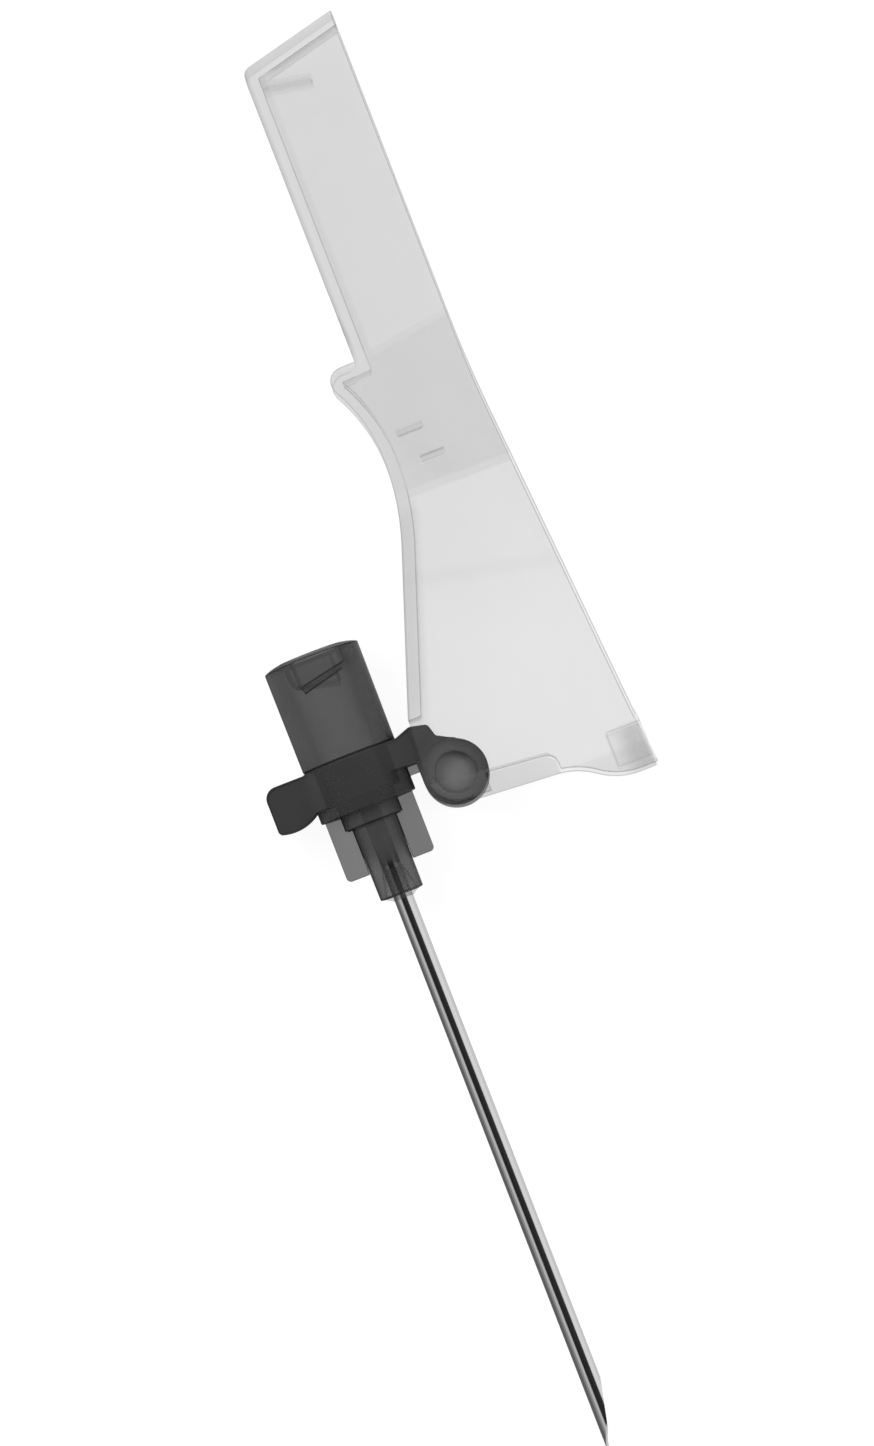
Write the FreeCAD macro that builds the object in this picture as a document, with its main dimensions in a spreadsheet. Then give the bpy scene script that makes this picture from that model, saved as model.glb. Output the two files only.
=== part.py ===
"""Safety hypodermic needle with a hinged shield, lying on its side with the shield swung fully open.

The origin is the centre of the luer mouth. +Y points out of the mouth, so the needle runs towards -Y.
+X points to the hinge, and +Z is the axis of the hinge. All lengths are in millimetres.
"""

import FreeCAD, Part
import math
import os

import Sketcher

os.makedirs("parts", exist_ok=True)

# Driving dimensions. Places along the needle are distances down from the luer mouth, and the shield's
# own places are measured from its pivot, along X and Y, with the shield open.
SIZES = {
    # hub
    "HubLength": 16.3,
    "SkirtRadius": 3.2,
    "SkirtLength": 6.85,
    "MidRadius": 2.5,
    "NoseBaseRadius": 1.95,
    "NoseBaseEnd": 11.3,
    "NoseRadius": 1.5,
    "HubEdge": 0.12,
    "RimCrown": 0.3,
    "RimRadius": 3.6,
    # 6 percent luer socket: its radius shrinks by 0.03 for each millimetre of depth
    "SocketRadius": 2.145,
    "SocketSlope": 0.03,
    "SocketDepth": 7.8,
    # luer lock lugs on a double thread
    "LugRadius": 3.9,
    "LugLead": 5.0,
    "LugTurn": 0.14,
    "LugDepth": 1.95,
    "LugCrest": 0.35,
    "LugStart": 20.0,
    "LugRoot": 0.3,
    "LugFlank": 0.5,
    # steel tube, 18 gauge
    "TubeRadius": 0.635,
    "TubeBore": 0.42,
    "TubeReach": 38.2,
    "TubeInset": 8.0,
    # the bonded end narrows a little, from a short way past the nose to its inner end
    "BondRadius": 0.615,
    "BondReach": 0.5,
    "BevelLength": 4.6,
    "BevelRise": 0.223,
    "LancetLength": 1.75,
    "LancetTurn": 38.0,
    "PointFlat": 0.013,
    # adhesive bead in the nose
    "WellRadius": 1.15,
    "WellDepth": 2.0,
    "BeadDepth": 1.8,
    "BeadMeniscus": 0.3,
    "BondGap": 0.01,
    # collar with its fins, wing and hinge barrel
    "RingRadius": 3.25,
    "RingEnd": 10.3,
    "RingFloor": 0.8,
    "CollarGap": 0.03,
    "FinReach": 3.0,
    "FinEnd": 14.4,
    "FinThick": 0.8,
    "FinCorner": 0.3,
    "WingReach": 5.97,
    "WingTop": 7.0,
    "WingTipDepth": 9.9,
    "WingRootDepth": 9.5,
    "WingHalf": 2.4,
    "WingCorner": 0.8,
    "WingRadius": 3.0,
    "PivotX": 6.05,
    "PivotDepth": 10.3,
    "BarrelRadius": 2.15,
    "BarrelOverhang": 0.05,
    "BarrelEdge": 0.25,
    "ArmHalf": 2.5,
    "ArmCrestX": 4.4,
    "ArmCrestDepth": 6.55,
    "ArmReach": 5.45,
    "ArmDepth": 6.8,
    "ArmShoulderX": 5.7,
    "ArmShoulderDepth": 7.65,
    "ArmMeetTurn": 60.0,
    "ArmSlotTop": 8.75,
    "ArmEdge": 0.35,
    "ArmStepX": 4.15,
    "ArmStepHalf": 2.9,
    "WebDepth": 9.4,
    "WebHalf": 0.3,
    # hinge bosses of the shield in the blind sockets of the barrel
    "BossRadius": 1.3,
    "BossGap": 0.05,
    "SocketHingeDepth": 1.3,
    "SideGap": 0.15,
    # shield
    "ShieldWall": 0.8,
    "EndWall": 0.9,
    "ShieldReach": 48.7,
    "EndSlant": 1.65,
    "SpineX": 3.5,
    "OpenX": 10.25,
    "OpenBendY": 27.1,
    "OpenBendRadius": 80.0,
    "StepY": 26.95,
    "PadTipY": 26.85,
    "WaistX": 2.95,
    "WaistY": 20.3,
    "PadRadius": 11.0,
    "HeelRadius": 17.0,
    "HeelX": -1.65,
    "HeelY": 4.15,
    "EarRadius": 1.9,
    "BaseX": 12.35,
    "BaseDrop": 4.1,
    "BaseStep": 2.3,
    "BaseStepX": 5.75,
    "BaseStepRadius": 4.65,
    "ChannelHalf": 3.1,
    "FlareLow": 18.1,
    "FlareHigh": 27.6,
    "EndCorner": 0.65,
    "PadCorner": 0.93,
    "SpineEdge": 0.5,
    "NotchLeft": 1.75,
    "NotchRight": 6.35,
    "NotchRise": 1.5,
    "NotchSide": 1.05,
    "NotchCorner": 0.8,
    # catch blocks that close over the wing, and the cross rib under the shield's end
    "CatchLength": 2.3,
    "CatchDepth": 2.3,
    "CatchInset": 0.6,
    "CatchGap": 0.15,
    "RibDrop": 3.1,
    "RibLength": 3.6,
    "RibFall": 0.7,
    "RibThick": 0.5,
    # two short fingers that stand out of the side walls beside the closed needle's place
    "FingerX": 5.2,
    "FingerLength": 1.7,
    "FingerY": 21.5,
    "FingerStep": 1.8,
    "FingerThick": 0.35,
    "FingerGap": 0.2,
}

# How far a cutting outline runs past the solid that it opens.
OVERCUT = 2.0

# Rough places, from the hinge, where the solver starts for points that smooth joints settle.
HEEL_END = (2.0, 14.8)
PAD_TIP_X = 0.8
OPEN_EDGE_END = (10.55, 20.6)


class Size:
    """A length with its value and the expression over the sheet that gives it."""

    def __init__(self, value, text):
        self.value = float(value)
        self.text = text

    def __add__(self, other):
        other = as_size(other)
        return Size(self.value + other.value, f"({self.text} + {other.text})")

    def __sub__(self, other):
        other = as_size(other)
        return Size(self.value - other.value, f"({self.text} - {other.text})")

    def __rsub__(self, other):
        return as_size(other) - self

    def __mul__(self, other):
        other = as_size(other)
        return Size(self.value * other.value, f"({self.text} * {other.text})")

    def __truediv__(self, other):
        other = as_size(other)
        return Size(self.value / other.value, f"({self.text} / {other.text})")

    def __neg__(self):
        return Size(-self.value, f"(-{self.text})")

    __radd__ = __add__
    __rmul__ = __mul__


def as_size(number):
    """Plain numbers join in as themselves."""
    return number if isinstance(number, Size) else Size(number, repr(float(number)))


def sine(turn):
    return Size(math.sin(math.radians(turn.value)), f"sin({turn.text} * 1 deg)")


def cosine(turn):
    return Size(math.cos(math.radians(turn.value)), f"cos({turn.text} * 1 deg)")


class Sizes:
    """The sheet's cells, read by their names."""

    def __init__(self, doc):
        sheet = doc.addObject("Spreadsheet::Sheet", "Sizes")
        for row, (name, value) in enumerate(SIZES.items(), start=1):
            sheet.set(f"A{row}", name)
            sheet.set(f"B{row}", str(value))
            sheet.setAlias(f"B{row}", name)
        doc.recompute()

    def __getattr__(self, name):
        return Size(SIZES[name], f"Sizes.{name}")


def bind(feature, name, size):
    """Set a property and tie it to the sheet."""
    size = as_size(size)
    setattr(feature, name, size.value)
    feature.setExpression(name, size.text)


class Outline:
    """A closed sketch outline: lines and arcs from point to point, tied to the sheet.

    A coordinate given as a Guess only starts the solver, and other constraints settle it. An edge that
    is smooth leaves the edge before it without a corner.
    """

    def __init__(self, sketch, x, y):
        self.sketch = sketch
        self.points = [(x, y)]
        self.steps = []

    def line(self, x, y, smooth=False):
        self.points.append((x, y))
        self.steps.append((None, True, smooth))
        return self

    def arc(self, x, y, radius, left=True, smooth=False):
        """An arc of less than half a turn, which bends to the left of the way it runs, or to the right."""
        self.points.append((x, y))
        self.steps.append((radius, left, smooth))
        return self

    def close(self, radius=None, left=True):
        """Draw the outline, closed by a straight line or an arc to the first point, and tie it.

        Returns the number of its first edge. The edges follow in order.
        """
        self.steps.append((radius, left, False))
        count = len(self.points)
        first = self.sketch.GeometryCount
        ends = []
        for k, (radius, left, smooth) in enumerate(self.steps):
            here = place(self.points[k])
            there = place(self.points[(k + 1) % count])
            if radius is None:
                self.sketch.addGeometry(Part.LineSegment(here, there), False)
            else:
                self.sketch.addGeometry(arc_between(here, there, as_size(radius).value, left), False)
            ends.append((1, 2) if left else (2, 1))
        for k in range(count):
            after = (k + 1) % count
            meet = "Tangent" if self.steps[after][2] else "Coincident"
            self.sketch.addConstraint(
                Sketcher.Constraint(meet, first + k, ends[k][1], first + after, ends[after][0])
            )
        for k, (x, y) in enumerate(self.points):
            self.fix(first + k, ends[k][0], x, y)
        for k, (radius, left, smooth) in enumerate(self.steps):
            if radius is not None:
                tie(self.sketch, Sketcher.Constraint("Radius", first + k, as_size(radius).value), radius)
        return first

    def fix(self, edge, end, x, y):
        """Tie an end of an edge to its distances from the sketch's origin."""
        for kind, axis, distance in (("DistanceX", -2, x), ("DistanceY", -1, y)):
            if isinstance(distance, Guess):
                continue
            distance = as_size(distance)
            if distance.value == 0:
                self.sketch.addConstraint(Sketcher.Constraint("PointOnObject", edge, end, axis))
            else:
                tie(self.sketch, Sketcher.Constraint(kind, -1, 1, edge, end, distance.value), distance)


class Guess:
    """A rough coordinate for a point that other constraints place."""

    def __init__(self, value):
        self.value = as_size(value).value


def place(point):
    """The point's position before the sketch is solved."""
    x, y = (c.value if isinstance(c, Guess) else as_size(c).value for c in point)
    return FreeCAD.Vector(x, y, 0)


def tie(sketch, constraint, size):
    """Add a constraint whose value follows the sheet."""
    index = sketch.addConstraint(constraint)
    sketch.setExpression(f"Constraints[{index}]", as_size(size).text)


def arc_between(start, end, radius, left):
    """The sketch arc from one point to another, drawn anticlockwise as sketches keep it."""
    if not left:
        start, end = end, start
    chord = end - start
    rise = math.sqrt(max(radius**2 - (chord.Length / 2) ** 2, 0))
    side = FreeCAD.Vector(-chord.y, chord.x, 0).normalize()
    centre = (start + end) * 0.5 + side * rise
    first, last = (math.atan2(p.y - centre.y, p.x - centre.x) for p in (start, end))
    return Part.ArcOfCircle(Part.Circle(centre, FreeCAD.Vector(0, 0, 1), radius), first, last)


def new_body(doc, name):
    return doc.addObject("PartDesign::Body", name)


def new_sketch(body, name, role="XY_Plane", turn=None):
    """A sketch on one of the body's own origin planes, turned about the needle if asked."""
    plane = next(p for p in body.Origin.OriginFeatures if p.Role == role)
    sketch = body.newObject("Sketcher::SketchObject", name)
    sketch.AttachmentSupport = [(plane, "")]
    sketch.MapMode = "FlatFace"
    if turn is not None:
        axis = FreeCAD.Vector(0, 1, 0) if role == "XY_Plane" else FreeCAD.Vector(1, 0, 0)
        sketch.AttachmentOffset = FreeCAD.Placement(FreeCAD.Vector(), axis, turn.value)
        sketch.setExpression("AttachmentOffset.Rotation.Angle", f"{turn.text} * 1 deg")
    return sketch


def circle(sketch, x, y, radius):
    """A full circle tied to the sheet."""
    edge = sketch.addGeometry(
        Part.Circle(place((x, y)), FreeCAD.Vector(0, 0, 1), as_size(radius).value), False
    )
    Outline(sketch, x, y).fix(edge, 3, x, y)
    tie(sketch, Sketcher.Constraint("Radius", edge, as_size(radius).value), radius)


def rectangle(sketch, left, right, low, high):
    Outline(sketch, left, low).line(right, low).line(right, high).line(left, high).close()


def spin(body, kind, name, sketch):
    """A full turn of the sketch about the needle's axis."""
    feature = body.newObject(f"PartDesign::{kind}", name)
    feature.Profile = sketch
    feature.ReferenceAxis = (sketch, ["V_Axis"])
    feature.Angle = 360
    body.Document.recompute()
    return feature


def plate(body, name, sketch, half):
    """A pad that reaches the same distance to both sides of its sketch."""
    feature = body.newObject("PartDesign::Pad", name)
    feature.Profile = sketch
    feature.SideType = "Symmetric"
    bind(feature, "Length", 2 * as_size(half))
    body.Document.recompute()
    return feature


def cut_through(body, name, sketch):
    """A pocket right through the body, to both sides of its sketch."""
    before = body.Shape.Volume
    feature = body.newObject("PartDesign::Pocket", name)
    feature.Profile = sketch
    feature.SideType = "Symmetric"
    feature.Type = "ThroughAll"
    body.Document.recompute()
    if not feature.Shape.Volume < before:
        raise RuntimeError(f"{name} cuts nothing")
    return feature


def round_edges(body, name, chosen, radius, kind="Fillet"):
    """Round or chamfer the edges of the body that a test picks."""
    base = body.Tip
    picked = [f"Edge{i}" for i, edge in enumerate(base.Shape.Edges, start=1) if chosen(edge)]
    if not picked:
        raise RuntimeError(f"{name} finds no edge")
    feature = body.newObject(f"PartDesign::{kind}", name)
    feature.Base = (base, picked)
    bind(feature, "Radius" if kind == "Fillet" else "Size", radius)
    body.Document.recompute()
    return feature


def ring_edge(radius, y):
    """Picks the circular edges of a radius at a height along the needle."""

    def test(edge):
        curve = edge.Curve
        if not isinstance(curve, Part.Circle):
            return False
        return abs(curve.Radius - radius.value) < 1e-4 and abs(curve.Center.y - y.value) < 1e-4

    return test


def upright_edge(x, y):
    """Picks the straight edges along Z at a height, and at a distance from the needle if given."""

    def test(edge):
        if not isinstance(edge.Curve, Part.Line) or abs(edge.Curve.Direction.z) < 0.999:
            return False
        at = edge.Vertexes[0].Point
        return abs(at.y - y.value) < 1e-3 and (x is None or abs(at.x - x.value) < 1e-3)

    return test


def make_tube(doc, s):
    """Steel tube with a lancet point: one long bevel and two side facets that meet at the tip."""
    body = new_body(doc, "cannula")
    tip = -(s.HubLength + s.TubeReach)
    inner_end = s.TubeInset - s.HubLength
    bond_foot = -(s.HubLength + s.BondReach)
    sketch = new_sketch(body, "TubeSection")
    outline = Outline(sketch, s.TubeBore, tip).line(s.TubeRadius, tip).line(s.TubeRadius, bond_foot)
    outline.line(s.BondRadius, inner_end).line(s.TubeBore, inner_end).close()
    spin(body, "Revolution", "TubeWall", sketch)

    heel = tip + s.BevelLength
    past = tip - OVERCUT
    side = s.TubeRadius + OVERCUT
    sketch = new_sketch(body, "BevelSide")
    depth = s.TubeRadius - (s.BevelLength + OVERCUT) * s.BevelRise
    Outline(sketch, s.TubeRadius, heel).line(depth, past).line(side, past).line(side, heel).close()
    cut_through(body, "Bevel", sketch)

    # Each side facet starts on the outer edge of the bevel and leaves only the point at the tip.
    top = tip + s.LancetLength
    start_x = s.TubeRadius * sine(s.LancetTurn)
    tip_x = s.PointFlat - s.TubeRadius * cosine(s.LancetTurn)
    fall = (start_x - tip_x) / s.LancetLength
    for name, angle in (("Near", s.LancetTurn), ("Far", -s.LancetTurn)):
        sketch = new_sketch(body, f"Lancet{name}Side", turn=angle)
        low_x = tip_x - fall * OVERCUT
        Outline(sketch, start_x, top).line(low_x, past).line(side, past).line(side, top).close()
        cut_through(body, f"Lancet{name}", sketch)
    return body


def make_hub(doc, s):
    """Luer hub: skirt, collar seat and nose in one turned form, with two helical lock lugs."""
    body = new_body(doc, "hub")
    passage = s.TubeRadius + s.BondGap
    socket_end = s.SocketRadius - s.SocketSlope * s.SocketDepth
    seat_end = -(s.RingEnd - s.RingFloor - s.CollarGap)
    sketch = new_sketch(body, "HubSection")
    outline = Outline(sketch, s.SocketRadius, 0).line(s.SkirtRadius, 0)
    outline.line(s.SkirtRadius, -s.SkirtLength).line(s.MidRadius, -s.SkirtLength)
    outline.line(s.MidRadius, seat_end).line(s.NoseBaseRadius, seat_end)
    outline.line(s.NoseBaseRadius, -s.NoseBaseEnd).line(s.NoseRadius, -s.NoseBaseEnd)
    outline.line(s.NoseRadius, -s.HubLength).line(s.WellRadius, -s.HubLength)
    outline.line(passage, s.WellDepth - s.HubLength).line(passage, -s.SocketDepth)
    outline.line(socket_end, -s.SocketDepth).close()
    spin(body, "Revolution", "HubForm", sketch)

    # The lug's section stands in the plane through the needle and the hinge axis. It sweeps up the
    # thread, and what rises past the mouth is cut off level with the rim.
    sketch = new_sketch(body, "LugSection", "YZ_Plane", turn=-s.LugStart)
    root = s.SkirtRadius - s.LugRoot
    low = -s.LugDepth
    rise = s.LugLead * s.LugTurn
    flank = (s.LugRadius - s.SkirtRadius) * s.LugFlank
    outline = Outline(sketch, low - flank, root).line(low, s.LugRadius - s.LugCrest)
    outline.line(low + s.LugCrest * s.LugFlank, s.LugRadius).line(rise, s.LugRadius)
    outline.line(rise, root).close()
    lug = body.newObject("PartDesign::AdditiveHelix", "Lug")
    lug.Profile = sketch
    lug.ReferenceAxis = (sketch, ["H_Axis"])
    lug.Mode = "pitch-turns-angle"
    bind(lug, "Pitch", s.LugLead)
    bind(lug, "Turns", s.LugTurn)
    lug.LeftHanded = False
    body.Document.recompute()
    pair = body.newObject("PartDesign::PolarPattern", "LugPair")
    pair.Originals = [lug]
    pair.Axis = (sketch, ["H_Axis"])
    pair.Angle = 360
    pair.Occurrences = 2
    body.Tip = pair
    body.Document.recompute()

    sketch = new_sketch(body, "RimSection")
    rectangle(sketch, 0, s.LugRadius + OVERCUT, 0, 2 * rise + OVERCUT)
    spin(body, "Groove", "LevelRim", sketch)

    # The mouth's rim is crowned: an arc from the socket's edge down to the skirt's.
    sketch = new_sketch(body, "CrownSection")
    outline = Outline(sketch, s.SocketRadius, 0).line(s.SkirtRadius, 0)
    outline.arc(s.SocketRadius, s.RimCrown, s.RimRadius).close()
    spin(body, "Revolution", "CrownedRim", sketch)
    round_edges(body, "ShoulderEdge", ring_edge(s.SkirtRadius, -s.SkirtLength), s.HubEdge)
    round_edges(body, "NoseEdge", ring_edge(s.NoseRadius, -s.HubLength), s.HubEdge)
    return body


def make_bead(doc, s):
    """Cone of adhesive that fills the nose well round the tube."""
    body = new_body(doc, "adhesive")
    inner = s.TubeRadius + s.BondGap
    deepest = s.BeadDepth - s.HubLength
    taper = (s.WellRadius - inner) / s.WellDepth
    sketch = new_sketch(body, "BeadSection")
    outline = Outline(sketch, inner, deepest).line(inner, -(s.HubLength + s.BeadMeniscus))
    outline.line(s.WellRadius - s.BondGap, -s.HubLength)
    outline.line(s.WellRadius - taper * s.BeadDepth - s.BondGap, deepest).close()
    spin(body, "Revolution", "Bead", sketch)
    return body


def barrel_half(s):
    """Half the barrel's length: it stands a little past the ring on both sides."""
    return s.RingRadius + s.BarrelOverhang


def make_collar(doc, s):
    """Collar pressed onto the hub: ring, two fins, latch wing, arm and hinge barrel in one moulding."""
    body = new_body(doc, "collar")
    gap = s.CollarGap
    top = -(s.SkirtLength + gap)
    end = -s.RingEnd
    sketch = new_sketch(body, "RingSection")
    rectangle(sketch, 0, s.RingRadius, end, top)
    spin(body, "Revolution", "Ring", sketch)

    # The wing's lower edge is a convex ramp that spreads the shield's catches as it closes.
    sketch = new_sketch(body, "WingSide")
    outline = Outline(sketch, 0, -s.WingTop).line(-s.WingReach, -s.WingTop)
    outline.line(-s.WingReach, -s.WingTipDepth).arc(-s.RingRadius, -s.WingRootDepth, s.WingRadius)
    outline.line(0, -s.WingRootDepth).close()
    plate(body, "Wing", sketch, s.WingHalf)
    round_edges(body, "WingRound", upright_edge(-s.WingReach, -s.WingTop), s.WingCorner)

    for name, sign in (("Left", -1), ("Right", 1)):
        sketch = new_sketch(body, f"Fin{name}Side")
        outer = s.FinReach * sign
        rectangle(sketch, 0, outer, -s.FinEnd, end + s.RingFloor / 2)
        plate(body, f"Fin{name}", sketch, s.FinThick / 2)
        round_edges(body, f"Fin{name}Round", upright_edge(outer, -s.FinEnd), s.FinCorner)

    sketch = new_sketch(body, "BarrelEnd")
    circle(sketch, s.PivotX, -s.PivotDepth, s.BarrelRadius)
    plate(body, "Barrel", sketch, barrel_half(s))
    round_edges(body, "BarrelRound", barrel_rim(s), s.BarrelEdge)

    # The arm leaves the ring's top edge, turns down over an open slot and meets the barrel. It is
    # wider past a step, and a thin web closes the top of the slot.
    slot_x = s.PivotX - s.BarrelRadius
    meet = (
        s.PivotX + s.BarrelRadius * cosine(s.ArmMeetTurn),
        s.BarrelRadius * sine(s.ArmMeetTurn) - s.PivotDepth,
    )
    sketch = new_sketch(body, "ArmSide")
    outline = Outline(sketch, 0, top).line(s.RingRadius, top).line(s.ArmStepX, -s.ArmCrestDepth)
    outline.line(s.ArmStepX, -s.ArmSlotTop).line(0, -s.ArmSlotTop).close()
    plate(body, "ArmRoot", sketch, s.ArmHalf)
    sketch = new_sketch(body, "ArmTurnSide")
    outline = Outline(sketch, s.ArmStepX, -s.ArmSlotTop).line(s.ArmStepX, -s.ArmCrestDepth)
    outline.line(s.ArmCrestX, -s.ArmCrestDepth).line(s.ArmReach, -s.ArmDepth)
    outline.line(s.ArmShoulderX, -s.ArmShoulderDepth).line(*meet).line(s.PivotX, -s.PivotDepth)
    outline.line(slot_x, -s.PivotDepth).line(slot_x, -s.ArmSlotTop).close()
    plate(body, "ArmTurn", sketch, s.ArmStepHalf)
    round_edges(body, "ArmRound", upright_edge(s.ArmReach, -s.ArmDepth), s.ArmEdge)
    sketch = new_sketch(body, "WebSide")
    rectangle(sketch, 0, slot_x + s.WebHalf, -s.WebDepth, -s.ArmSlotTop)
    plate(body, "Web", sketch, s.WebHalf)

    sketch = new_sketch(body, "BoreSection")
    seat, nose, base_end = s.MidRadius + gap, s.NoseRadius + gap, -(s.NoseBaseEnd + gap)
    floor_top = -(s.RingEnd - s.RingFloor)
    outline = Outline(sketch, 0, top + OVERCUT).line(seat, top + OVERCUT).line(seat, floor_top)
    outline.line(s.NoseBaseRadius + gap, floor_top).line(s.NoseBaseRadius + gap, base_end)
    outline.line(nose, base_end).line(nose, -(s.FinEnd + OVERCUT)).line(0, -(s.FinEnd + OVERCUT)).close()
    spin(body, "Groove", "Bore", sketch)

    # Blind sockets in both ends of the barrel.
    sketch = new_sketch(body, "SocketEnd")
    bind_offset(sketch, barrel_half(s))
    circle(sketch, s.PivotX, -s.PivotDepth, s.BossRadius + s.BossGap)
    before = body.Shape.Volume
    socket = body.newObject("PartDesign::Pocket", "HingeSocket")
    socket.Profile = sketch
    bind(socket, "Length", s.SocketHingeDepth)
    body.Document.recompute()
    pair = body.newObject("PartDesign::Mirrored", "HingeSockets")
    pair.Originals = [socket]
    pair.MirrorPlane = (next(p for p in body.Origin.OriginFeatures if p.Role == "XY_Plane"), [""])
    body.Tip = pair
    body.Document.recompute()
    if not body.Shape.Volume < socket.Shape.Volume < before:
        raise RuntimeError("the hinge sockets cut nothing")
    return body


def barrel_rim(s):
    """Picks the outer rims of the hinge barrel's two ends."""

    def test(edge):
        curve = edge.Curve
        if not isinstance(curve, Part.Circle) or abs(curve.Radius - s.BarrelRadius.value) > 1e-4:
            return False
        return abs(abs(curve.Center.z) - barrel_half(s).value) < 1e-4

    return test


def spine_side(outline, s, inset):
    """Run the spine up from its heel, past the waist of the thumb pad, to the foot of the channel.

    The inset is 0 for the outside and the wall for the inside.
    """
    x0, y0 = s.PivotX, -s.PivotDepth
    heel_x, heel_y = HEEL_END
    outline.line(Guess(x0 + heel_x + inset), Guess(y0 + heel_y))
    outline.arc(x0 + s.WaistX + inset, y0 + s.WaistY, s.HeelRadius + inset, smooth=True)
    outline.arc(Guess(x0 + PAD_TIP_X + inset), y0 + s.PadTipY - inset, s.PadRadius + inset)
    outline.line(x0 + s.SpineX + inset, y0 + s.StepY - inset)


def level_centre(sketch, arc, height):
    """Put an arc's centre at a height of the sketch."""
    tie(sketch, Sketcher.Constraint("DistanceY", -1, 1, arc, 3, height.value), height)


def base_step_length(s):
    """How far the two equal arcs of the base's step run, level at both ends."""
    drop = s.BaseDrop - s.BaseStep
    span = drop * (4 * s.BaseStepRadius - drop)
    return Size(math.sqrt(span.value), f"sqrt({span.text})")


def shield_side(body, s):
    """Outer side view: ear, spine, thumb pad, channel, end wall, open edge and stepped base."""
    x0, y0 = s.PivotX, -s.PivotDepth
    sketch = new_sketch(body, "ShieldSide")
    outline = Outline(sketch, x0 - s.EarRadius, y0).line(x0 + s.HeelX, y0 + s.HeelY)
    spine_side(outline, s, as_size(0))
    outline.line(x0 + s.SpineX, y0 + s.ShieldReach - s.EndSlant).line(x0 + s.OpenX, y0 + s.ShieldReach)
    outline.line(x0 + s.OpenX, y0 + s.OpenBendY)
    bend_x, bend_y = OPEN_EDGE_END
    outline.arc(Guess(x0 + bend_x), Guess(y0 + bend_y), s.OpenBendRadius)
    outline.line(x0 + s.BaseX, y0 - s.BaseDrop, smooth=True)
    step = base_step_length(s)
    outline.line(x0 + s.BaseStepX + step, y0 - s.BaseDrop)
    outline.arc(
        x0 + s.BaseStepX + step / 2, y0 - (s.BaseDrop + s.BaseStep) / 2, s.BaseStepRadius, left=False
    )
    outline.arc(x0 + s.BaseStepX, y0 - s.BaseStep, s.BaseStepRadius)
    outline.line(x0, y0 - s.EarRadius)
    first = outline.close(s.EarRadius, left=False)
    # The thumb pad's two arcs stand upright at the waist, and the open edge's long arc where it starts.
    for arc in (first + 2, first + 3):
        level_centre(sketch, arc, y0 + s.WaistY)
    level_centre(sketch, first + 8, y0 + s.OpenBendY)
    return sketch


def hollow_side(body, s):
    """Side view of the space inside: open at the edge away from the spine and below the heel."""
    x0, y0 = s.PivotX, -s.PivotDepth
    wall = s.ShieldWall
    slope = s.EndSlant / (s.OpenX - s.SpineX)
    end_drop = s.EndWall * (1 + slope * slope / 2)
    right = s.BaseX + OVERCUT
    sketch = new_sketch(body, "HollowSide")
    outline = Outline(sketch, x0 - s.EarRadius - OVERCUT, y0 + s.HeelY)
    outline.line(Guess(x0 + s.HeelX + wall), y0 + s.HeelY)
    spine_side(outline, s, wall)
    outline.line(x0 + s.SpineX + wall, y0 + s.ShieldReach - s.EndSlant + slope * wall - end_drop)
    outline.line(x0 + right, y0 + s.ShieldReach + slope * (right - s.OpenX) - end_drop)
    outline.line(x0 + right, y0 - s.BaseDrop - OVERCUT)
    outline.line(x0 - s.EarRadius - OVERCUT, y0 - s.BaseDrop - OVERCUT)
    first = outline.close()
    for arc in (first + 2, first + 3):
        level_centre(sketch, arc, y0 + s.WaistY)

    # The slanted line keeps the wall's distance from the heel's outer corner.
    heel = (x0 + s.HeelX, y0 + s.HeelY)
    corner = sketch.addGeometry(Part.Point(place(heel)), True)
    outline.fix(corner, 1, *heel)
    tie(sketch, Sketcher.Constraint("Distance", corner, 1, first + 1, wall.value), wall)
    return sketch


def flared_block(body, name, side, s, base_half, channel_half):
    """Pad a side view to the base's width and narrow it to the channel's along sloping flanks."""
    y0 = -s.PivotDepth
    plate(body, name, side, base_half)
    sketch = new_sketch(body, f"{name}Flanks", "YZ_Plane")
    for sign in (1, -1):
        far = base_half + OVERCUT
        outline = Outline(sketch, y0 + s.FlareLow, sign * base_half)
        outline.line(y0 + s.FlareHigh, sign * channel_half)
        outline.line(y0 + s.ShieldReach + 2 * OVERCUT, sign * channel_half)
        outline.line(y0 + s.ShieldReach + 2 * OVERCUT, sign * far).line(y0 + s.FlareLow, sign * far)
        outline.close()
    cut_through(body, f"{name}Flare", sketch)


def inward_pair(body, name, draw, start, length):
    """A pad that stands out of both side walls towards the middle, drawn once and mirrored."""
    sketch = new_sketch(body, f"{name}Face")
    bind_offset(sketch, start)
    draw(sketch)
    pad = body.newObject("PartDesign::Pad", name)
    pad.Profile = sketch
    bind(pad, "Length", length)
    body.Document.recompute()
    pair = body.newObject("PartDesign::Mirrored", f"{name}Pair")
    pair.Originals = [pad]
    pair.MirrorPlane = (next(p for p in body.Origin.OriginFeatures if p.Role == "XY_Plane"), [""])
    body.Tip = pair
    body.Document.recompute()


def bind_offset(sketch, height):
    """Lift a sketch along its plane's normal."""
    sketch.AttachmentOffset = FreeCAD.Placement(FreeCAD.Vector(0, 0, height.value), FreeCAD.Rotation())
    sketch.setExpression("AttachmentOffset.Base.z", height.text)


def channel_edge(s):
    """Picks the two long edges between the channel's spine and its side walls."""
    x, foot = (s.PivotX + s.SpineX).value, (s.FlareHigh - s.PivotDepth).value

    def test(edge):
        if not isinstance(edge.Curve, Part.Line) or abs(edge.Curve.Direction.y) < 0.999:
            return False
        return all(abs(end.X - x) < 1e-3 and end.Y > foot - 1e-3 for end in edge.Vertexes)

    return test


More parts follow.
